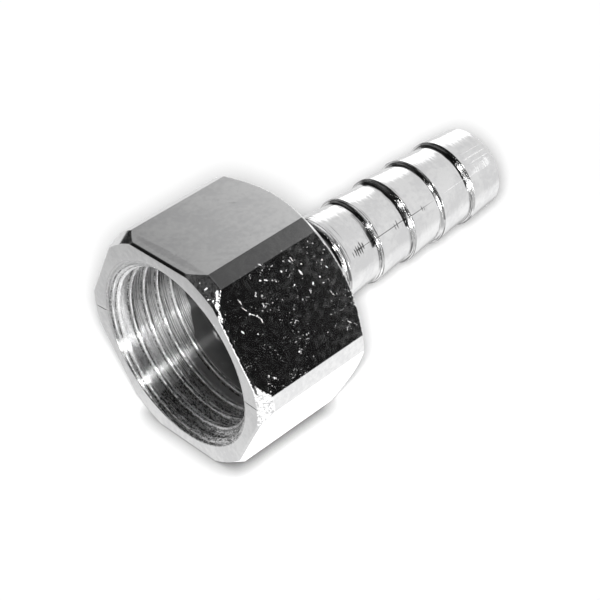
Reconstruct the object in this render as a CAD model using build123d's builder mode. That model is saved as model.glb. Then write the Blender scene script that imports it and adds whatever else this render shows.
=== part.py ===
from build123d import *
import os
from math import cos, radians, sin, sqrt, tan

# Hose nipple: a hexagon socket with an inside pipe thread at one end and a
# barbed tail for a push-on hose at the other. One piece, turned from hexagon
# brass bar and plated. Millimetres. The origin is the middle of the socket's
# mouth, +X runs down the bore towards the hose, and a flat faces up and down.

# Hexagon socket
across_flats = 24.0
hex_length = 15.3
# The bar's sharp corners are turned down by this much to narrow round lands.
corner_cut = 0.53
# Both ends of the corners are chamfered in the lathe. The angles are taken
# from the axis: a long slim chamfer at the mouth, a blunter one at the back
# that runs a little way into the flats too.
mouth_chamfer_length = 1.5
mouth_chamfer_angle = 27.5
back_chamfer_length = 1.4
back_chamfer_angle = 53.0
# The flats' own edges at the mouth are broken by hand.
flat_edge_break = 0.25

# Pipe thread, bored to its full diameter: the fine thread form is left off.
# This wall at the flats leaves G 1/2, which is 20.955 mm over its full depth.
wall_at_flats = 1.5225
# A shallow dished ring and a small edge break lead from the end face into it.
mouth_edge_break = 0.15
dish_width = 0.42
dish_depth = 0.05
socket_depth = 11.0
socket_corner_radius = 0.4

# Waterway through the floor of the socket and the tail
waterway_diameter = 7.5
waterway_edge_break = 0.4

# Hose tail
tail_length = 29.4
tail_root_diameter = 9.54
tail_blend_radius = 0.8
barb_height = 0.38
first_crest_from_hexagon = 5.2
barb_pitch = 4.85
# Each barb rises from the root to its crest over a hollow step on the side
# towards the hexagon. The tool ran wide on the third, which moved its crest.
step_lengths = [0.65, 0.62, 0.93, 0.45, 0.74]
crest_shifts = [0.0, 0.05, 0.2, 0.0, 0.0]
step_angle = 60.0
# The crest keeps a narrow straight band, so that it isn't a knife edge.
crest_band = 0.1
nose_edge_break = 0.3

land_radius = across_flats / sqrt(3) - corner_cut
mouth_face_radius = land_radius - mouth_chamfer_length * tan(radians(mouth_chamfer_angle))
back_face_radius = land_radius - back_chamfer_length * tan(radians(back_chamfer_angle))
thread_radius = across_flats / 2 - wall_at_flats
mouth_radius = thread_radius + mouth_edge_break
waterway_radius = waterway_diameter / 2
root_radius = tail_root_diameter / 2
crest_radius = root_radius + barb_height
overall_length = hex_length + tail_length


def middle_of_step(start, length):
    """The point halfway round a step's arc, which leaves the root level and meets the crest at step_angle."""
    half_turn = radians(step_angle / 2)
    full_turn = radians(step_angle)
    along = length * sin(half_turn) / sin(full_turn)
    rise = barb_height * (1 - cos(half_turn)) / (1 - cos(full_turn))
    return (start + along, root_radius + rise)


with BuildPart() as hose_nipple:
    # The hexagon bar, with the flats' edges at the mouth broken
    with BuildSketch(Plane.YZ):
        RegularPolygon(across_flats / 2, 6, major_radius=False)
    extrude(amount=hex_length)
    chamfer(hose_nipple.edges().group_by(Axis.X)[0], length=flat_edge_break)

    # The round envelope that turns the corners to lands and chamfers their ends
    with BuildSketch(Plane.XY):
        with BuildLine():
            Polyline(
                (0, 0),
                (0, mouth_face_radius),
                (mouth_chamfer_length, land_radius),
                (hex_length - back_chamfer_length, land_radius),
                (hex_length, back_face_radius),
                (hex_length, 0),
                close=True,
            )
        make_face()
    revolve(axis=Axis.X, mode=Mode.INTERSECT)

    # The tail, from its blend into the hexagon to the nose, barb by barb
    with BuildSketch(Plane.XY):
        with BuildLine() as tail_outline:
            Line((hex_length, 0), (hex_length, root_radius + tail_blend_radius))
            RadiusArc(
                tail_outline.line @ 1,
                (hex_length + tail_blend_radius, root_radius),
                tail_blend_radius,
            )
            for index, step_length in enumerate(step_lengths):
                crest = hex_length + first_crest_from_hexagon + index * barb_pitch + crest_shifts[index]
                step_start = crest - step_length
                Line(tail_outline.line @ 1, (step_start, root_radius))
                ThreePointArc(
                    (step_start, root_radius),
                    middle_of_step(step_start, step_length),
                    (crest, crest_radius),
                )
                Line((crest, crest_radius), (crest + crest_band, crest_radius))
            Polyline(
                tail_outline.line @ 1,
                (overall_length - nose_edge_break, root_radius),
                (overall_length, root_radius - nose_edge_break),
                (overall_length, 0),
                (hex_length, 0),
            )
        make_face()
    revolve(axis=Axis.X)

    # The threaded socket, open at the mouth, with its floor for a flat gasket
    with BuildSketch(Plane.XY):
        with BuildLine():
            Polyline(
                (0, 0),
                (0, mouth_radius + dish_width),
                (dish_depth, mouth_radius),
                (dish_depth + mouth_edge_break, thread_radius),
                (socket_depth, thread_radius),
                (socket_depth, 0),
                close=True,
            )
        socket_profile = make_face()
        fillet(socket_profile.vertices().sort_by(Axis.X)[-2:].sort_by(Axis.Y)[-1], socket_corner_radius)
    revolve(axis=Axis.X, mode=Mode.SUBTRACT)

    # The waterway, with a broken edge where it leaves the socket's floor
    with BuildSketch(Plane.XY):
        with BuildLine():
            Polyline(
                (socket_depth, 0),
                (socket_depth, waterway_radius + waterway_edge_break),
                (socket_depth + waterway_edge_break, waterway_radius),
                (overall_length, waterway_radius),
                (overall_length, 0),
                close=True,
            )
        make_face()
    revolve(axis=Axis.X, mode=Mode.SUBTRACT)

hose_nipple.part.label = "hose_nipple"

os.makedirs("parts", exist_ok=True)
export_step(hose_nipple.part, "parts/hose_nipple.step")
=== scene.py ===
import bpy
import mathutils
from math import pi, radians, tan
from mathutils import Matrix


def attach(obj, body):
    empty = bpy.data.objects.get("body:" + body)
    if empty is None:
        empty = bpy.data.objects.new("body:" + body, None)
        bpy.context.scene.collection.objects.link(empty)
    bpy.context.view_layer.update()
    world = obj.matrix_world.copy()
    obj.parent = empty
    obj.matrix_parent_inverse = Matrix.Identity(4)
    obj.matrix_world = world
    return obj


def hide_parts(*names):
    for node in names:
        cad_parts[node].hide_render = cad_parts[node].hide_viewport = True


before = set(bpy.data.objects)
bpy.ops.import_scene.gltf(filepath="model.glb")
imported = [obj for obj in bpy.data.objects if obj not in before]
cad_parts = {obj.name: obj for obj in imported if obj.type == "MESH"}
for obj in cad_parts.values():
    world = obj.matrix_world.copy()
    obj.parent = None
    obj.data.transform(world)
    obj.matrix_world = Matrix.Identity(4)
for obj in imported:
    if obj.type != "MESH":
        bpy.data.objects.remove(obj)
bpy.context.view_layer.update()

# The camera looks at the socket's mouth from the left and above, down the bore
# at about 60 degrees, as the photograph does. Nothing is shifted.
bpy.ops.object.select_all(action="DESELECT")
camera_data = bpy.data.cameras.new("camera")
camera_data.lens = 99.0
camera_data.sensor_width = 36.0
camera_data.clip_start = 0.005
camera = bpy.data.objects.new("camera", camera_data)
bpy.context.scene.collection.objects.link(camera)
camera.matrix_world = mathutils.Matrix((
    (0.71996, 0.46782, -0.51263, -0.07335),
    (-0.68903, 0.39345, -0.60864, -0.10774),
    (-0.08304, 0.79142, 0.60561, 0.10394),
    (0.0, 0.0, 0.0, 1.0),
))
bpy.context.scene.camera = camera
bpy.context.scene.view_settings.view_transform = "Standard"

# The plating is bright nickel over turned brass: a little uneven under the
# light, with fine tool lines round the turned parts, drawing lines along the
# flats, small pits that catch the light, and edges rubbed round.


def wire(tree, source, target):
    """Joins an output to an input of a node tree."""
    tree.links.new(source, target)


def number(tree, operation, *inputs, clamp=False):
    """A Math node with numbers or outputs as its inputs; gives its output."""
    node = tree.nodes.new("ShaderNodeMath")
    node.operation = operation
    node.use_clamp = clamp
    for slot, value in enumerate(inputs):
        if isinstance(value, (int, float)):
            node.inputs[slot].default_value = value
        else:
            wire(tree, value, node.inputs[slot])
    return node.outputs[0]


def joined(tree, operation, inputs):
    """The inputs joined one after another by the same operation."""
    result = inputs[0]
    for value in inputs[1:]:
        result = number(tree, operation, result, value)
    return result


def times(tree, *inputs):
    """All the inputs multiplied."""
    return joined(tree, "MULTIPLY", inputs)


def plus(tree, *inputs):
    """All the inputs added."""
    return joined(tree, "ADD", inputs)


def most(tree, *inputs):
    """The largest of the inputs."""
    return joined(tree, "MAXIMUM", inputs)


def one_minus(tree, value):
    """What is left of 1: a mask turned round."""
    return number(tree, "SUBTRACT", 1.0, value)


def ease(tree, value, low, high):
    """0 below low and 1 above high, with a soft step between."""
    node = tree.nodes.new("ShaderNodeMapRange")
    node.interpolation_type = "SMOOTHSTEP"
    wire(tree, value, node.inputs["Value"])
    node.inputs["From Min"].default_value = low
    node.inputs["From Max"].default_value = high
    return node.outputs["Result"]


def group_ends(group, inputs, outputs):
    """The input and output nodes of a new group, with its named sockets."""
    for name, kind, value in inputs:
        socket = group.interface.new_socket(name=name, in_out="INPUT", socket_type=kind)
        if value is not None:
            socket.default_value = value
    for name, kind in outputs:
        group.interface.new_socket(name=name, in_out="OUTPUT", socket_type=kind)
    return group.nodes.new("NodeGroupInput"), group.nodes.new("NodeGroupOutput")


pits = bpy.data.node_groups.new("plating_pits", "ShaderNodeTree")
pits_in, pits_out = group_ends(
    pits,
    [("Vector", "NodeSocketVector", None), ("Cells per metre", "NodeSocketFloat", 1200.0),
     ("Share", "NodeSocketFloat", 0.3), ("Size", "NodeSocketFloat", 0.2)],
    [("Mask", "NodeSocketFloat")],
)
cells = pits.nodes.new("ShaderNodeTexVoronoi")
cells.feature = "F1"
wire(pits, pits_in.outputs["Vector"], cells.inputs["Vector"])
wire(pits, pits_in.outputs["Cells per metre"], cells.inputs["Scale"])
split = pits.nodes.new("ShaderNodeSeparateColor")
wire(pits, cells.outputs["Color"], split.inputs["Color"])
chosen = number(pits, "LESS_THAN", split.outputs["Red"], pits_in.outputs["Share"])
reach = times(pits, pits_in.outputs["Size"], plus(pits, split.outputs["Green"], 0.35))
inside = number(pits, "SUBTRACT", 1.0, number(pits, "DIVIDE", cells.outputs["Distance"], reach), clamp=True)
wire(pits, times(pits, inside, chosen), pits_out.inputs["Mask"])

plating = bpy.data.materials.new("bright_plating_worn")
plating.use_nodes = True
tree = plating.node_tree
shader = tree.nodes["Principled BSDF"]
shader.inputs["IOR"].default_value = 1.45
place = tree.nodes.new("ShaderNodeTexCoord")
axes = tree.nodes.new("ShaderNodeSeparateXYZ")
wire(tree, place.outputs["Object"], axes.inputs[0])
along = axes.outputs["X"]
from_axis = number(
    tree,
    "SQRT",
    plus(
        tree,
        times(tree, axes.outputs["Y"], axes.outputs["Y"]),
        times(tree, axes.outputs["Z"], axes.outputs["Z"]),
    ),
)
around = times(tree, number(tree, "ARCTAN2", axes.outputs["Z"], axes.outputs["Y"]), 180 / pi)
on_tail = ease(tree, along, 0.0149, 0.0151)
in_socket = times(tree, one_minus(tree, ease(tree, from_axis, 0.0106, 0.0108)), one_minus(tree, on_tail))
# The worst-worn flat, and how far along and across it a point is
worn_depth = plus(tree, times(tree, axes.outputs["Y"], -0.866), times(tree, axes.outputs["Z"], 0.5))
on_worn_flat = times(tree, ease(tree, worn_depth, 0.01185, 0.01195), one_minus(tree, on_tail))


def noise(tree, vector, scale, detail, distortion=0.0):
    """A noise texture's value."""
    node = tree.nodes.new("ShaderNodeTexNoise")
    wire(tree, vector, node.inputs["Vector"])
    node.inputs["Scale"].default_value = scale
    node.inputs["Detail"].default_value = detail
    node.inputs["Distortion"].default_value = distortion
    return node.outputs["Fac"]


def vector_of(tree, *inputs):
    """A vector of three numbers or outputs."""
    node = tree.nodes.new("ShaderNodeCombineXYZ")
    for slot, value in enumerate(inputs):
        if isinstance(value, (int, float)):
            node.inputs[slot].default_value = value
        else:
            wire(tree, value, node.inputs[slot])
    return node.outputs[0]


# Tool lines run round the turned parts and along the thread, with shorter torn
# ones in the socket. The thread starts just outside the mouth.
thread_pitch = 0.001814
thread_start = 0.00066
winding = times(tree, around, thread_pitch / 360, in_socket)
wound = number(tree, "SUBTRACT", along, winding)
turned = noise(tree, vector_of(tree, wound, from_axis, times(tree, around, 0.000004)), 6500.0, 3.0)
torn = noise(tree, vector_of(tree, wound, from_axis, times(tree, around, 0.00002)), 9000.0, 4.0)
facing = tree.nodes.new("ShaderNodeSeparateXYZ")
wire(tree, place.outputs["Normal"], facing.inputs[0])
on_step = times(tree, ease(tree, times(tree, facing.outputs["X"], -1.0), 0.1, 0.3), on_tail)
mottle = noise(tree, place.outputs["Object"], 1500.0, 3.0)
swell = noise(tree, place.outputs["Object"], 260.0, 1.0)
fine = noise(tree, place.outputs["Object"], 5200.0, 2.0)
ragged = noise(tree, place.outputs["Object"], 3000.0, 3.0, 1.2)
clusters = noise(tree, place.outputs["Object"], 420.0, 2.0)

fine_pits = tree.nodes.new("ShaderNodeGroup")
fine_pits.node_tree = pits
wire(tree, place.outputs["Object"], fine_pits.inputs["Vector"])
fine_pits.inputs["Cells per metre"].default_value = 1500.0
fine_pits.inputs["Share"].default_value = 0.02
fine_pits.inputs["Size"].default_value = 0.2
pitted = times(tree, fine_pits.outputs["Mask"], plus(tree, 0.08, on_worn_flat))

# Single marks, both nicks and painted lines and streaks: each is an ellipse on a flat map of its surface
mark_group = bpy.data.node_groups.new("plating_mark", "ShaderNodeTree")
mark_in, mark_out = group_ends(
    mark_group,
    [("Vector", "NodeSocketVector", None), ("Middle", "NodeSocketVector", None),
     ("Turn", "NodeSocketVector", None), ("Reach", "NodeSocketVector", None)],
    [("Mask", "NodeSocketFloat")],
)
placed = mark_group.nodes.new("ShaderNodeMapping")
placed.vector_type = "TEXTURE"
wire(mark_group, mark_in.outputs["Vector"], placed.inputs["Vector"])
wire(mark_group, mark_in.outputs["Middle"], placed.inputs["Location"])
wire(mark_group, mark_in.outputs["Turn"], placed.inputs["Rotation"])
wire(mark_group, mark_in.outputs["Reach"], placed.inputs["Scale"])
span = mark_group.nodes.new("ShaderNodeVectorMath")
span.operation = "LENGTH"
wire(mark_group, placed.outputs[0], span.inputs[0])
wire(
    mark_group,
    one_minus(mark_group, ease(mark_group, span.outputs["Value"], 0.6, 1.0)),
    mark_out.inputs["Mask"],
)


def ellipse_marks(tree, vector, marks):
    """Nicks and painted lines at (across, up, half length, half width in mm, turn in degrees) on a flat map.
    """
    total = None
    for across, up, half_length, half_width, turn in marks:
        node = tree.nodes.new("ShaderNodeGroup")
        node.node_tree = mark_group
        wire(tree, vector, node.inputs["Vector"])
        node.inputs["Middle"].default_value = (across / 1000, up / 1000, 0.0)
        node.inputs["Turn"].default_value = (0.0, 0.0, radians(turn))
        node.inputs["Reach"].default_value = (half_length / 1000, half_width / 1000, 1.0)
        total = node.outputs[0] if total is None else number(tree, "MAXIMUM", total, node.outputs[0])
    return total


wander = times(tree, number(tree, "SUBTRACT", ragged, 0.5), 0.0006)
up_the_flat = plus(tree, times(tree, axes.outputs["Y"], 0.5), times(tree, axes.outputs["Z"], 0.866))
worn_map = vector_of(tree, plus(tree, along, wander), number(tree, "SUBTRACT", up_the_flat, wander), 0.0)
worn_marks = ellipse_marks(tree, worn_map, [
    (2.80, 3.80, 0.36, 0.05, 100), (2.92, 2.95, 0.32, 0.045, -65), (3.19, 2.35, 0.13, 0.11, 0),
    (3.50, 2.08, 0.26, 0.04, -42), (3.85, 1.78, 0.14, 0.11, 0), (4.07, 1.20, 0.38, 0.06, -85),
    (4.73, 3.65, 0.32, 0.05, 75), (4.96, 2.30, 0.35, 0.03, 65), (6.57, 5.95, 0.28, 0.07, -60),
    (5.80, 4.60, 0.13, 0.10, 0), (6.40, 4.35, 0.13, 0.10, 0), (8.40, 4.20, 0.13, 0.10, 30),
    (10.05, 4.70, 0.36, 0.04, -80), (9.80, 4.60, 0.26, 0.03, -70), (10.40, 3.10, 0.38, 0.07, -80),
    (10.84, 3.78, 0.10, 0.10, 0), (10.45, 1.00, 0.32, 0.05, 55), (11.20, 1.45, 0.20, 0.10, 60),
    (12.21, 1.67, 0.10, 0.08, 0), (13.22, 3.00, 0.14, 0.08, 40), (13.40, 2.15, 0.24, 0.07, -60),
    (12.70, -0.40, 0.42, 0.035, -75), (13.10, -3.85, 0.36, 0.04, -50), (12.60, -4.3, 0.26, 0.035, 60),
    (6.45, -3.57, 0.14, 0.12, 0), (1.61, 1.22, 0.24, 0.06, -70), (2.65, -4.38, 0.13, 0.12, 0),
    (2.06, -3.87, 0.22, 0.05, 80), (3.10, 0.20, 0.10, 0.08, 0), (9.20, 2.30, 0.12, 0.07, 20),
])
worn_marks = times(tree, worn_marks, on_worn_flat)

# Fine flecks, thick in some places and thin in others, most on the worn flat
fleck_level = plus(tree, ragged, times(tree, clusters, 0.25))
fleck_level = plus(tree, fleck_level, times(tree, on_worn_flat, 0.04))
flecks = ease(tree, fleck_level, 0.84, 0.89)
flecks = times(tree, flecks, number(tree, "ADD", 0.12, on_worn_flat, clamp=True))
# Beads and a long bright nick on the chamfer beside the worn flat
corner_map = vector_of(tree, plus(tree, along, wander), times(tree, around, 0.00022), 0.0)
corner_marks = ellipse_marks(tree, corner_map, [
    (0.62, 26.36, 0.12, 0.10, 0), (0.96, 27.53, 0.62, 0.17, -56), (0.18, 27.30, 0.12, 0.10, 0),
    (0.38, 27.70, 0.13, 0.12, 0), (0.45, 28.25, 0.44, 0.19, -53), (0.24, 29.15, 0.95, 0.11, -82),
    (0.56, 25.54, 0.10, 0.06, 0),
])
corner_marks = times(tree, corner_marks, one_minus(tree, in_socket))
worn_marks = most(tree, worn_marks, corner_marks)
# Painted glints sparkle along the rim of the back chamfer
back_slope = 1.327
back_rim_radius = 0.01333
cone_gap = plus(tree, from_axis, times(tree, number(tree, "SUBTRACT", along, 0.0139), back_slope))
back_rim = one_minus(
    tree,
    ease(
        tree,
        number(tree, "ABSOLUTE", number(tree, "SUBTRACT", cone_gap, back_rim_radius)),
        0.00008,
        0.00016,
    ),
)
back_rim = times(tree, back_rim, ease(tree, along, 0.01385, 0.01395), one_minus(tree, on_tail))
painted_rim_glints = times(tree, back_rim, ease(tree, plus(tree, ragged, fine), 0.96, 1.10))
# The chamfer at the mouth is a slim cone: dull on the upper corners, speckled on the low one
chamfer_slope = 0.5206
chamfer_radius = 0.012546
on_chamfer = number(tree, "SUBTRACT", from_axis, times(tree, along, chamfer_slope))
on_chamfer = one_minus(
    tree,
    ease(
        tree,
        number(tree, "ABSOLUTE", number(tree, "SUBTRACT", on_chamfer, chamfer_radius)),
        0.00005,
        0.00009,
    ),
)
on_chamfer = times(tree, on_chamfer, one_minus(tree, ease(tree, along, 0.0015, 0.0022)))
high_corner = times(
    tree,
    on_chamfer,
    number(tree, "SUBTRACT", ease(tree, around, 40.0, 44.0), ease(tree, around, 136.0, 140.0)),
)
high_corner = times(
    tree,
    high_corner,
    plus(tree, 0.010, times(tree, ease(tree, plus(tree, ragged, fine), 0.80, 1.16), 0.045)),
)
low_corner = times(tree, on_chamfer, ease(tree, number(tree, "ABSOLUTE", around), 160.0, 168.0))
low_corner = times(tree, low_corner, ease(tree, plus(tree, ragged, fine), 0.86, 1.06))
# The worn flat's edge at the mouth is dark, with a thin bright line where it is broken
mouth_edge = times(
    tree, one_minus(tree, ease(tree, along, 0.00024, 0.00034)), ease(tree, worn_depth, 0.01165, 0.01175)
)
edge_width = plus(tree, 0.00005, times(tree, ease(tree, up_the_flat, 0.0030, 0.0066), 0.00016))
edge_width = plus(tree, edge_width, times(tree, wander, 0.6))
broken_edge = times(
    tree, mouth_edge, one_minus(tree, ease(tree, number(tree, "SUBTRACT", along, edge_width), 0.0, 0.00005))
)
broken_edge = times(tree, broken_edge, one_minus(tree, ease(tree, up_the_flat, 0.0032, 0.0040)))
# Both edges of the thread's crest get a painted highlight, and the grooves beside them painted shade
turns = plus(
    tree, number(tree, "DIVIDE", plus(tree, wound, thread_start + thread_pitch / 4), thread_pitch), 0.5
)
from_crest = number(tree, "SUBTRACT", number(tree, "FRACT", turns), 0.5)
crest_lines = number(
    tree,
    "MINIMUM",
    number(tree, "ABSOLUTE", plus(tree, from_crest, 0.135)),
    number(tree, "ABSOLUTE", number(tree, "SUBTRACT", from_crest, 0.10)),
)
threaded = times(tree, in_socket, one_minus(tree, ease(tree, along, 0.0082, 0.0085)))
crest_noise = ease(tree, plus(tree, torn, ragged), 0.84, 1.10)
painted_crest_highlights = times(tree, one_minus(tree, ease(tree, crest_lines, 0.008, 0.042)), threaded)
painted_crest_highlights = times(tree, painted_crest_highlights, plus(tree, 0.12, crest_noise))
painted_groove_shade = number(
    tree,
    "MINIMUM",
    number(tree, "ABSOLUTE", plus(tree, from_crest, 0.02)),
    number(tree, "ABSOLUTE", plus(tree, from_crest, 0.22)),
)
painted_groove_shade = times(tree, one_minus(tree, ease(tree, painted_groove_shade, 0.015, 0.050)), threaded)
# One side of the socket gets painted light up to a clear edge, brightest on its first land, and the rest gets
# painted shade
limit = plus(tree, -59.0, times(tree, ease(tree, along, 0.0054, 0.0083), 19.0))
limit = plus(tree, limit, times(tree, ease(tree, along, 0.0086, 0.0099), 15.0))
bright_side = ease(tree, number(tree, "SUBTRACT", around, limit), -1.2, 1.2)
bright_side = times(tree, bright_side, in_socket, one_minus(tree, ease(tree, along, 0.0097, 0.0099)))
socket_painted_light = one_minus(tree, ease(tree, number(tree, "ABSOLUTE", plus(tree, around, 19.0)), 6.0, 26.0))
socket_painted_light = times(tree, plus(tree, 0.16, socket_painted_light), bright_side)
socket_painted_light = times(tree, socket_painted_light, ease(tree, along, 0.0016, 0.0040))
first_land = times(tree, one_minus(tree, ease(tree, along, 0.0018, 0.0021)), bright_side)
first_light = times(tree, first_land, ease(tree, along, 0.0006, 0.0009), ease(tree, around, -32.0, -12.0))
deep = times(tree, one_minus(tree, bright_side), ease(tree, along, 0.0045, 0.0065))
speckled = number(
    tree,
    "SUBTRACT",
    in_socket,
    most(tree, times(tree, bright_side, 0.7), times(tree, deep, 0.85)),
    clamp=True,
)
lined = times(tree, bright_side, one_minus(tree, times(tree, first_land, 0.8)))
lined = times(tree, lined, one_minus(tree, ease(tree, turned, 0.36, 0.60)))
lined = times(tree, lined, ease(tree, plus(tree, swell, torn), 0.75, 1.15))

# A painted dark reflection line runs along the tail with short strokes across it, and painted highlight
# streaks lie on the last barb
tail_map = vector_of(
    tree,
    plus(tree, along, times(tree, wander, 0.3)),
    times(tree, number(tree, "SUBTRACT", around, 149.2), 0.0000855),
    0.0,
)
tail_strokes_and_painted_line = ellipse_marks(tree, tail_map, [
    (28.0, 0.0, 7.2, 0.05, 0), (22.0, 0.1, 0.10, 0.50, 0), (22.3, 0.15, 0.10, 0.75, 0),
    (22.62, 0.1, 0.12, 0.60, 0), (22.95, 0.0, 0.11, 0.85, 0), (23.3, -0.05, 0.12, 0.45, 0),
    (28.1, 0.1, 0.06, 0.45, 0), (28.5, 0.0, 0.07, 0.60, 0), (32.3, 0.0, 0.06, 0.40, 0),
    (32.6, 0.1, 0.04, 0.35, 0), (22.7, 0.0, 0.7, 0.12, 0), (21.6, 0.2, 0.05, 0.4, 0),
])
tail_painted_highlights = ellipse_marks(tree, tail_map, [
    (39.5, -0.17, 4.6, 0.05, 0), (42.3, -2.65, 2.2, 0.05, 0), (43.2, -0.55, 0.5, 0.6, 0),
    (42.0, -0.5, 0.06, 0.7, 0),
    (41.3, -0.6, 0.05, 0.6, 0), (40.5, -0.5, 0.04, 0.5, 0), (42.2, -1.95, 2.3, 0.10, 0),
    (42.5, -1.3, 1.9, 0.08, 0), (42.8, -0.8, 1.3, 0.12, 0), (42.2, -0.34, 1.9, 0.40, 0),
])
tail_painted_highlights = number(
    tree, "MULTIPLY", tail_painted_highlights, plus(tree, 0.2, ease(tree, turned, 0.42, 0.58)), clamp=True
)
tail_strokes_and_painted_line = times(tree, tail_strokes_and_painted_line, on_tail)
tail_painted_highlights = times(tree, tail_painted_highlights, on_tail)

# A drawing line lies across the upper flat near the mouth, with two specks further on
flat_map = vector_of(tree, plus(tree, along, wander), axes.outputs["Y"], 0.0)
between_flats = ellipse_marks(tree, flat_map, [
    (1.2, -0.6, 0.55, 6.2, 1), (8.5, -4.1, 0.10, 0.10, 0), (11.2, 1.5, 0.12, 0.5, 30),
])
# Two hairline seams cross the end face
face_map = vector_of(tree, axes.outputs["Y"], axes.outputs["Z"], 0.0)
seams = ellipse_marks(tree, face_map, [(11.5, 0.3, 1.1, 0.07, -4), (-11.7, -0.1, 1.4, 0.07, 3)])
seams = times(tree, seams, one_minus(tree, ease(tree, along, 0.0001, 0.0003)))

# The surface: slow waves, the tool lines, a coarser feed on the tail, and the pits
height = plus(tree, times(tree, mottle, 0.0000030), times(tree, swell, 0.0000060))
turned_depth = plus(tree, times(tree, in_socket, 0.000008), 0.0000002)
turned_depth = plus(tree, turned_depth, times(tree, on_tail, 0.0000070))
turned_depth = plus(tree, turned_depth, times(tree, on_step, 0.0000250))
height = plus(tree, height, times(tree, turned, turned_depth))
height = plus(tree, height, times(tree, torn, in_socket, 0.0000015))
feed = noise(tree, vector_of(tree, wound, from_axis, times(tree, around, 0.000004)), 2800.0, 1.0)
height = plus(tree, height, times(tree, feed, on_tail, 0.000018))
height = number(tree, "SUBTRACT", height, times(tree, pitted, 0.00002))
bump = tree.nodes.new("ShaderNodeBump")
bump.inputs["Strength"].default_value = 1.0
bump.inputs["Distance"].default_value = 1.0
wire(tree, height, bump.inputs["Height"])
rounded = tree.nodes.new("ShaderNodeBevel")
rounded.samples = 6
rounded.inputs["Radius"].default_value = 0.00010
wire(tree, rounded.outputs["Normal"], bump.inputs["Normal"])
wire(tree, bump.outputs["Normal"], shader.inputs["Normal"])

# The colour: uneven nickel, with dark specks, tool lines and painted shade in the socket, dark strokes, a
# painted dark line and painted shade on the tail's steps, and dark seams
tint = tree.nodes.new("ShaderNodeMix")
tint.data_type = "RGBA"
tint.inputs["A"].default_value = (0.80, 0.80, 0.805, 1.0)
tint.inputs["B"].default_value = (0.885, 0.885, 0.885, 1.0)
wire(tree, ease(tree, plus(tree, mottle, swell), 0.80, 1.20), tint.inputs["Factor"])
dark = most(tree, times(tree, tail_strokes_and_painted_line, 0.88), seams)
# Dark specks in the socket, away from its lit side and its bottom
socket_specks_and_shade = one_minus(tree, ease(tree, plus(tree, torn, fine), 0.84, 1.14))
socket_specks_and_shade = times(tree, socket_specks_and_shade, 0.88, speckled)
socket_specks_and_shade = most(tree, socket_specks_and_shade, times(tree, lined, 0.80))
socket_specks_and_shade = most(tree, socket_specks_and_shade, times(tree, painted_groove_shade, 0.85, crest_noise))
# The socket's unlit side gets painted shade, darker towards the bottom
socket_shade_side = times(
    tree,
    number(tree, "SUBTRACT", in_socket, bright_side, clamp=True),
    one_minus(tree, ease(tree, number(tree, "ABSOLUTE", around), 98.0, 115.0)),
)
socket_specks_and_shade = most(
    tree,
    socket_specks_and_shade,
    times(tree, socket_shade_side, plus(tree, 0.30, times(tree, ease(tree, along, 0.0078, 0.0088), 0.55))),
)
dark = most(tree, dark, socket_specks_and_shade)
dark = most(tree, dark, times(tree, mouth_edge, 0.93))
smudge = times(tree, between_flats, ease(tree, axes.outputs["Z"], 0.0119, 0.01195))
dark = most(tree, dark, times(tree, smudge, 0.16))
# The tail's steps get painted shade, most on their low side, lighter along the tool lines
painted_step_shade = times(tree, on_step, ease(tree, number(tree, "ABSOLUTE", around), 160.0, 170.0))
dark = most(tree, dark, times(tree, painted_step_shade, 0.4))
dark = most(
    tree,
    dark,
    times(tree, on_step, number(tree, "SUBTRACT", 0.80, ease(tree, turned, 0.42, 0.54), clamp=True)),
)
# Dark marks and painted shade take the colour towards near black
marks_and_painted_shade = tree.nodes.new("ShaderNodeMix")
marks_and_painted_shade.data_type = "RGBA"
marks_and_painted_shade.inputs["B"].default_value = (0.02, 0.02, 0.02, 1.0)
dark = times(
    tree, dark, number(tree, "SUBTRACT", 1.0, most(tree, broken_edge, painted_crest_highlights, worn_marks), clamp=True)
)
wire(tree, dark, marks_and_painted_shade.inputs["Factor"])
wire(tree, tint.outputs["Result"], marks_and_painted_shade.inputs["A"])
wire(tree, marks_and_painted_shade.outputs["Result"], shader.inputs["Base Color"])
# Nicks and flecks scatter the light instead of mirroring it. So do the painted highlights on the thread's
# crests, the socket's lit side, the back rim and the last barb, and the painted shade at the bottom of the
# socket
scatter = most(tree, worn_marks, times(tree, flecks, 0.6))
scatter = most(tree, scatter, times(tree, broken_edge, 0.9))
scatter = most(tree, scatter, times(tree, most(tree, painted_rim_glints, low_corner), 0.8))
scatter = most(tree, scatter, high_corner)
speckles = times(tree, ease(tree, plus(tree, torn, fine), 1.08, 1.24), speckled)
scatter = most(tree, scatter, times(tree, speckles, 0.16))
scatter = most(tree, scatter, times(tree, painted_crest_highlights, plus(tree, 0.20, times(tree, bright_side, 0.45))))
scatter = most(tree, scatter, times(tree, socket_painted_light, 0.30))
scatter = most(tree, scatter, times(tree, first_light, 0.55))
scatter = most(tree, scatter, times(tree, socket_shade_side, ease(tree, along, 0.0078, 0.0088), 0.15))
scatter = most(tree, scatter, times(tree, tail_painted_highlights, 0.6))
scatter = number(tree, "ADD", scatter, times(tree, in_socket, 0.02), clamp=True)
wire(tree, one_minus(tree, scatter), shader.inputs["Metallic"])
# Pits and the worn flat are duller, and the socket is grained round its bore
haze = times(tree, ease(tree, mottle, 0.40, 0.68), on_worn_flat)
rough = plus(tree, 0.10, times(tree, pitted, 0.4))
rough = plus(tree, rough, times(tree, haze, 0.04))
rough = plus(tree, rough, times(tree, in_socket, 0.20))
rough = plus(tree, rough, times(tree, on_step, 0.14))
wire(tree, rough, shader.inputs["Roughness"])
grain = tree.nodes.new("ShaderNodeTangent")
grain.direction_type = "RADIAL"
grain.axis = "X"
wire(tree, grain.outputs[0], shader.inputs["Tangent"])
shader.inputs["Anisotropic Rotation"].default_value = 0.25
wire(tree, times(tree, in_socket, 0.98), shader.inputs["Anisotropic"])

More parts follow.
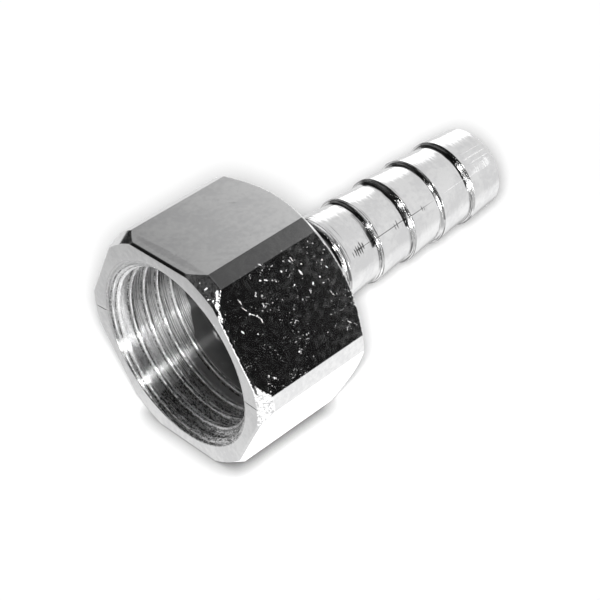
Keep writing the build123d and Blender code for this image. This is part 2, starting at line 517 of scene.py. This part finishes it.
# The fitting itself is one piece, turned from hexagon brass bar and then plated.
# The model's own surface is kept and only its shading is smoothed, so that the
# turned parts show no facets.
nipple_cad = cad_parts["hose_nipple"]
bpy.ops.object.select_all(action="DESELECT")
nipple_cad.select_set(True)
bpy.context.view_layer.objects.active = nipple_cad
bpy.ops.object.duplicate()
nipple = bpy.context.view_layer.objects.active
nipple.name = "turned_body"
bpy.ops.object.mode_set(mode="EDIT")
bpy.ops.mesh.select_all(action="SELECT")
bpy.ops.mesh.remove_doubles(threshold=0.000002)
bpy.ops.object.mode_set(mode="OBJECT")
if nipple.data.has_custom_normals:
    bpy.ops.mesh.customdata_custom_splitnormals_clear()
bpy.ops.object.shade_smooth_by_angle(angle=radians(13))
nipple.data.materials.clear()
nipple.data.materials.append(plating)
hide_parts("hose_nipple")
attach(nipple, "root")

# The inside pipe thread is cut in the socket's wall: ridges 1.814 mm apart, with
# 55 degree flanks, right-handed. The mouth's bevel cuts the first turn away and
# the relief groove at the bottom of the socket ends the last one.
thread_crest = 0.00938
thread_base = 0.01056
crest_flat = 0.00046
ridge_foot = crest_flat + 2 * (thread_base - thread_crest) * tan(radians(27.5))
bpy.ops.object.select_all(action="DESELECT")
bpy.ops.mesh.primitive_plane_add(size=1.0, location=(0.0, 0.0, 0.0), rotation=(radians(90), 0.0, 0.0))
ridge = bpy.context.view_layer.objects.active
ridge.name = "inside_thread"
ridge.scale = (ridge_foot, thread_base - thread_crest, 1.0)
ridge.location = (-thread_start, 0.0, (thread_base + thread_crest) / 2)
bpy.ops.object.transform_apply(location=True, rotation=True, scale=True)
bpy.ops.object.mode_set(mode="EDIT")
bpy.ops.mesh.select_all(action="DESELECT")
bpy.ops.object.mode_set(mode="OBJECT")
for vertex in ridge.data.vertices:
    vertex.select = vertex.co.z < (thread_base + thread_crest) / 2
for edge in ridge.data.edges:
    edge.select = all(ridge.data.vertices[i].select for i in edge.vertices)
bpy.ops.object.mode_set(mode="EDIT")
bpy.ops.transform.resize(value=(crest_flat / ridge_foot, 1.0, 1.0))
bpy.ops.mesh.bevel(offset=0.00009, segments=3, affect="VERTICES")
bpy.ops.mesh.select_all(action="SELECT")
bpy.ops.mesh.delete(type="ONLY_FACE")
bpy.ops.object.mode_set(mode="OBJECT")
screw = ridge.modifiers.new("winding", "SCREW")
screw.axis = "X"
screw.angle = radians(360)
screw.screw_offset = thread_pitch
screw.iterations = 6
screw.steps = 120
screw.render_steps = 120
screw.use_merge_vertices = False
screw.use_smooth_shade = True
bpy.ops.object.modifier_apply(modifier="winding")
bpy.ops.object.mode_set(mode="EDIT")
bpy.ops.mesh.select_all(action="SELECT")
bpy.ops.mesh.fill_holes(sides=0)
bpy.ops.mesh.select_all(action="SELECT")
bpy.ops.mesh.normals_make_consistent(inside=False)
bpy.ops.object.mode_set(mode="OBJECT")
bpy.ops.object.select_all(action="DESELECT")
bpy.ops.mesh.primitive_cone_add(vertices=120, radius1=0.01092, radius2=0.00890, depth=0.00202,
                                location=(0.00071, 0.0, 0.0), rotation=(0.0, radians(90), 0.0))
bevel_tool = bpy.context.view_layer.objects.active
bpy.ops.object.transform_apply(location=True, rotation=True, scale=True)
bpy.ops.mesh.primitive_cylinder_add(vertices=120, radius=0.0112, depth=0.0081, location=(0.00435, 0.0, 0.0),
                                    rotation=(0.0, radians(90), 0.0))
length_tool = bpy.context.view_layer.objects.active
bpy.ops.object.transform_apply(location=True, rotation=True, scale=True)
bpy.ops.object.select_all(action="DESELECT")
ridge.select_set(True)
bpy.context.view_layer.objects.active = ridge
for name, operation, tool in (("length", "INTERSECT", length_tool), ("mouth_bevel", "DIFFERENCE", bevel_tool)):
    cut = ridge.modifiers.new(name, "BOOLEAN")
    cut.operation = operation
    cut.object = tool
    cut.solver = "EXACT"
    bpy.ops.object.modifier_apply(modifier=name)
    bpy.data.objects.remove(tool, do_unlink=True)
bpy.ops.object.shade_smooth_by_angle(angle=radians(30))
ridge.data.materials.clear()
ridge.data.materials.append(plating)
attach(ridge, "root")

# The floor is plain white board. It keeps the fitting's soft shadow.
bpy.ops.object.select_all(action="DESELECT")
bpy.ops.mesh.primitive_plane_add(size=3.0, location=(0.0, 0.0, 0.0))
floor = bpy.context.view_layer.objects.active
floor.name = "floor"
floor.location = (0.0, 0.0, -0.01201)
bpy.ops.object.transform_apply(location=True, rotation=True, scale=True)
board = bpy.data.materials.new("white_board")
board.use_nodes = True
tree = board.node_tree
board_shader = tree.nodes["Principled BSDF"]
board_shader.inputs["Base Color"].default_value = (0.9, 0.9, 0.9, 1.0)
board_shader.inputs["Roughness"].default_value = 0.9
board_shader.inputs["Specular IOR Level"].default_value = 0.0
board_shader.inputs["Emission Color"].default_value = (1.0, 1.0, 1.0, 1.0)
path = tree.nodes.new("ShaderNodeLightPath")
seen = most(tree, path.outputs["Is Camera Ray"], path.outputs["Is Transmission Ray"])
place = tree.nodes.new("ShaderNodeTexCoord")
axes = tree.nodes.new("ShaderNodeSeparateXYZ")
wire(tree, place.outputs["Object"], axes.inputs[0])
over = axes.outputs["X"]
off = axes.outputs["Y"]
# The lamp's light falls on the board more and more aslant away from its foot,
# and the board's own glow makes up for it
lamp_back, lamp_side, lamp_height = 0.0740, 0.1062, 0.1178
foot_x = plus(tree, over, lamp_back)
foot_y = plus(tree, off, lamp_side)
slant = number(
    tree, "SQRT", plus(tree, lamp_height ** 2, times(tree, foot_x, foot_x), times(tree, foot_y, foot_y))
)
upright = number(tree, "DIVIDE", lamp_height, slant)
fill = number(tree, "SUBTRACT", 0.89, times(tree, upright, 1.32))
# A narrow soft shadow lies along the edges that touch the board
touch = tree.nodes.new("ShaderNodeAmbientOcclusion")
touch.samples = 8
touch.inputs["Distance"].default_value = 0.0018
touch.inputs["Color"].default_value = (0.9, 0.9, 0.9, 1.0)
wire(tree, touch.outputs["Color"], board_shader.inputs["Base Color"])
wire(tree, times(tree, seen, fill, touch.outputs["AO"]), board_shader.inputs["Emission Strength"])
# What the plating mirrors of the board is a painted glow: even light all over, painted light in strips beside
# the hexagon and the tail, and painted shadow under the tail and in front of the mouth


def between(tree, value, low, high, soft):
    """1 from low to high and 0 outside, with soft edges."""
    return times(
        tree,
        ease(tree, value, low - soft, low + soft),
        one_minus(tree, ease(tree, value, high - soft, high + soft)),
    )


def patch(x_low, x_high, y_low, y_high, soft, level):
    """A soft-edged rectangle on the board, brighter or darker than the rest by level."""
    return times(
        tree, level, between(tree, over, x_low, x_high, soft), between(tree, off, y_low, y_high, soft)
    )


glow = plus(tree, 0.80, patch(0.0002, 0.022, -0.012, -0.004, 0.0006, 0.7))
glow = plus(tree, glow, patch(0.024, 0.070, -0.016, -0.0035, 0.005, 0.20))
glow = plus(tree, glow, patch(0.024, 0.060, -0.0015, 0.006, 0.002, -0.30))
glow = plus(tree, glow, patch(0.004, 0.026, -0.034, -0.014, 0.002, 0.22))
glow = plus(tree, glow, patch(-0.060, -0.014, -0.030, 0.050, 0.012, -0.25))
glow = plus(tree, glow, patch(-0.060, -0.0030, -0.030, 0.050, 0.003, -0.09))
mirrored_board = tree.nodes.new("ShaderNodeEmission")
wire(tree, glow, mirrored_board.inputs["Strength"])
board_mix = tree.nodes.new("ShaderNodeMixShader")
wire(tree, path.outputs["Is Glossy Ray"], board_mix.inputs["Fac"])
wire(tree, board_shader.outputs[0], board_mix.inputs[1])
wire(tree, mirrored_board.outputs[0], board_mix.inputs[2])
wire(tree, board_mix.outputs[0], tree.nodes["Material Output"].inputs["Surface"])
floor.data.materials.append(board)

# A small soft lamp stands where the camera does. Its light doesn't fade with
# distance, so that the board is lit as far as it is seen.
lamp_data = bpy.data.lights.new("front_lamp", "POINT")
lamp_data.energy = 58.0
lamp_data.shadow_soft_size = 0.012
lamp_data.use_nodes = True
tree = lamp_data.node_tree
even = tree.nodes.new("ShaderNodeLightFalloff")
even.inputs["Strength"].default_value = 1.0
wire(tree, even.outputs["Constant"], tree.nodes["Emission"].inputs["Strength"])
front_lamp = bpy.data.objects.new("front_lamp", lamp_data)
bpy.context.scene.collection.objects.link(front_lamp)
front_lamp.location = (-lamp_back, -lamp_side, lamp_height - 0.012)
front_lamp.visible_glossy = False
front_lamp.visible_camera = False

# The studio: soft light all round for the board, and what the plating mirrors.
# A bright wall stands behind the hose end, and the room over the camera is dark.
studio = bpy.data.worlds.new("studio")
bpy.context.scene.world = studio
studio.use_nodes = True
tree = studio.node_tree
tree.nodes.clear()
surface = tree.nodes.new("ShaderNodeOutputWorld")
look = tree.nodes.new("ShaderNodeTexCoord")
parts = tree.nodes.new("ShaderNodeSeparateXYZ")
wire(tree, look.outputs["Generated"], parts.inputs[0])
toward = plus(tree, times(tree, parts.outputs["Y"], -0.709), times(tree, parts.outputs["Z"], 0.705))
across = plus(tree, times(tree, parts.outputs["Y"], 0.705), times(tree, parts.outputs["Z"], 0.709))
turn = times(tree, number(tree, "ARCTAN2", across, toward), 180 / pi)
along = parts.outputs["X"]


def steps(tree, value, points):
    """A curve through (value, height) points, straight between them."""
    low = points[0][0]
    high = points[-1][0]
    scaled = number(tree, "DIVIDE", number(tree, "SUBTRACT", value, low), high - low, clamp=True)
    ramp = tree.nodes.new("ShaderNodeValToRGB")
    wire(tree, scaled, ramp.inputs["Fac"])
    elements = ramp.color_ramp.elements
    while len(elements) > 1:
        elements.remove(elements[-1])
    elements[0].position = 0.0
    elements[0].color = (points[0][1],) * 3 + (1.0,)
    for at, level in points[1:]:
        element = elements.new((at - low) / (high - low))
        element.color = (level,) * 3 + (1.0,)
    return ramp.outputs["Color"]


# A pale wall behind the hose end, with a lamp on its far side
wall = ease(tree, along, 0.565, 0.605)
oblique = plus(tree, turn, times(tree, number(tree, "SUBTRACT", along, 0.64), 100.0))
wall_level = steps(tree, oblique, [
    (-180, 0.7), (-125, 0.86), (-104, 1.15), (-88, 0.99), (-60, 1.05), (0, 1.0),
    (50, 0.94), (84, 0.94), (98, 1.9), (128, 1.9), (150, 1.1), (180, 0.8),
])
lit = times(tree, wall, wall_level)
# Two dimmer panels beside it, above the socket
beside = times(tree, ease(tree, along, 0.36, 0.42), one_minus(tree, wall))
panels = plus(
    tree,
    times(tree, between(tree, turn, 62, 118, 8), 0.575),
    times(tree, between(tree, turn, 12, 42, 5), 0.13),
)
panels = times(tree, panels, plus(tree, 0.72, times(tree, number(tree, "SUBTRACT", along, 0.455), 6.6)))
panels = times(tree, panels, beside)
# A lamp over the camera, and a long low one to its left
above_gap = between(tree, along, -0.36, 0.05, 0.05)
below_gap = between(tree, along, -0.90, -0.66, 0.05)
off_gap = plus(tree, above_gap, below_gap)
spot = times(tree, between(tree, turn, 5, 8, 1.5), between(tree, along, -0.71, -0.12, 0.04))
low_lamp = times(tree, between(tree, turn, -60, -18, 6), between(tree, along, -0.71, -0.12, 0.04))
low_core = times(tree, between(tree, turn, -44, -41, 1.5), between(tree, along, -0.71, -0.12, 0.04))
lamps = plus(tree, times(tree, spot, 42.0), times(tree, low_lamp, 1.5))
lamps = plus(tree, lamps, times(tree, low_core, 55.0))
# Dim sheens between and beside them
sheen = times(tree, between(tree, turn, -25, 10, 6), off_gap)
lamps = plus(tree, lamps, times(tree, sheen, 0.25))
sheen = times(tree, between(tree, turn, 54, 122, 10), between(tree, along, -0.40, -0.14, 0.08))
lamps = plus(tree, lamps, times(tree, sheen, 0.16))
sheen = times(tree, between(tree, turn, 112, 165, 10), between(tree, along, -0.80, -0.10, 0.06))
lamps = plus(tree, lamps, times(tree, sheen, 0.22))
dark_room = 0.009
mirrored = plus(tree, lit, panels, lamps, dark_room)

path = tree.nodes.new("ShaderNodeLightPath")
plain = tree.nodes.new("ShaderNodeBackground")
plain.inputs["Color"].default_value = (1.0, 1.0, 1.0, 1.0)
plain.inputs["Strength"].default_value = 1.0
soft = tree.nodes.new("ShaderNodeBackground")
soft.inputs["Color"].default_value = (1.0, 1.0, 1.0, 1.0)
soft.inputs["Strength"].default_value = 0.15
room = tree.nodes.new("ShaderNodeBackground")
wire(tree, mirrored, room.inputs["Strength"])
mix_glossy = tree.nodes.new("ShaderNodeMixShader")
wire(tree, path.outputs["Is Glossy Ray"], mix_glossy.inputs["Fac"])
wire(tree, soft.outputs[0], mix_glossy.inputs[1])
wire(tree, room.outputs[0], mix_glossy.inputs[2])
mix_camera = tree.nodes.new("ShaderNodeMixShader")
wire(
    tree,
    most(tree, path.outputs["Is Camera Ray"], path.outputs["Is Transmission Ray"]),
    mix_camera.inputs["Fac"],
)
wire(tree, mix_glossy.outputs[0], mix_camera.inputs[1])
wire(tree, plain.outputs[0], mix_camera.inputs[2])
wire(tree, mix_camera.outputs[0], surface.inputs["Surface"])
